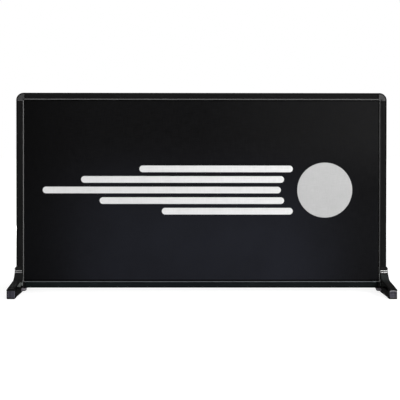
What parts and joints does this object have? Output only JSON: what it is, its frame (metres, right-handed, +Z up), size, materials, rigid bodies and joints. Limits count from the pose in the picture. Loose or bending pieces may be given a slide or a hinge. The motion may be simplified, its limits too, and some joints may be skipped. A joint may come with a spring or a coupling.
{
  "type": "table tennis barrier",
  "caption": "Free-standing playing-court barrier: taut black cloth on both faces of an extruded frame, held upright by moulded feet whose arms reach front and rear.",
  "frame": {"origin": "on the floor, under the middle of the barrier", "axes": "+X along the barrier to the right as seen from the front, +Y to the rear, +Z up; the front faces -Y"},
  "size_m": [1.413, 0.386, 0.755],
  "materials": {
    "black_anodised_aluminium": "black anodised, satin, with fine lines along the extrusion",
    "grey_bead_strip": "grey satin extruded strip",
    "grey_moulded_corner": "mottled mid-grey moulding",
    "black_cloth": "taut black woven cloth with a satin sheen and a printed pattern",
    "bare_aluminium": "mill finish",
    "black_moulded_plastic": "fine-grained black moulding",
    "polished_steel": "polished",
    "zinc_plated_steel": "zinc plated",
    "grey_moulded_cap": "dark grey moulding with a faint purple tint",
    "black_rubber": "matt"
  },
  "bodies": {
    "frame": {"top_rail": "black_anodised_aluminium", "bottom_rail": "black_anodised_aluminium", "left_post": "black_anodised_aluminium", "right_post": "black_anodised_aluminium", "corner_block_bottom_left": "black_moulded_plastic", "corner_block_top_left": "grey_moulded_corner", "corner_block_top_right": "grey_moulded_corner", "corner_block_bottom_right": "black_moulded_plastic", "corner_screw_bottom_left_rail": "zinc_plated_steel", "corner_screw_bottom_left_post": "zinc_plated_steel", "corner_screw_top_left_rail": "zinc_plated_steel", "corner_screw_top_left_post": "zinc_plated_steel", "corner_screw_top_right_rail": "zinc_plated_steel", "corner_screw_top_right_post": "zinc_plated_steel", "corner_screw_bottom_right_rail": "zinc_plated_steel", "corner_screw_bottom_right_post": "zinc_plated_steel", "front_bead_top": "grey_bead_strip", "front_bead_bottom": "grey_bead_strip", "front_bead_left": "grey_bead_strip", "front_bead_right": "grey_bead_strip", "rear_bead_top": "grey_bead_strip", "rear_bead_bottom": "grey_bead_strip", "rear_bead_left": "grey_bead_strip", "rear_bead_right": "grey_bead_strip", "front_cloth": "black_cloth", "rear_cloth": "black_cloth", "centre_brace": "bare_aluminium", "brace_plug_bottom": "black_moulded_plastic", "brace_plug_top": "black_moulded_plastic"},
    "left_foot": {"left_foot_body": "black_moulded_plastic", "left_foot_band": "polished_steel", "left_foot_lock_screw": "zinc_plated_steel", "left_foot_rear_cap": "grey_moulded_cap", "left_foot_rear_pad": "black_rubber", "left_foot_front_cap": "grey_moulded_cap", "left_foot_front_pad": "black_rubber"},
    "right_foot": {"right_foot_body": "black_moulded_plastic", "right_foot_band": "polished_steel", "right_foot_lock_screw": "zinc_plated_steel", "right_foot_rear_cap": "grey_moulded_cap", "right_foot_rear_pad": "black_rubber", "right_foot_front_cap": "grey_moulded_cap", "right_foot_front_pad": "black_rubber"}
  },
  "joints": [
    {"name": "left_foot_slide", "type": "slide", "parent": "frame", "child": "left_foot", "axis": [0, 0, -1], "range_m": [0, 0.09]},
    {"name": "right_foot_slide", "type": "slide", "parent": "frame", "child": "right_foot", "axis": [0, 0, -1], "range_m": [0, 0.09]}
  ]
}
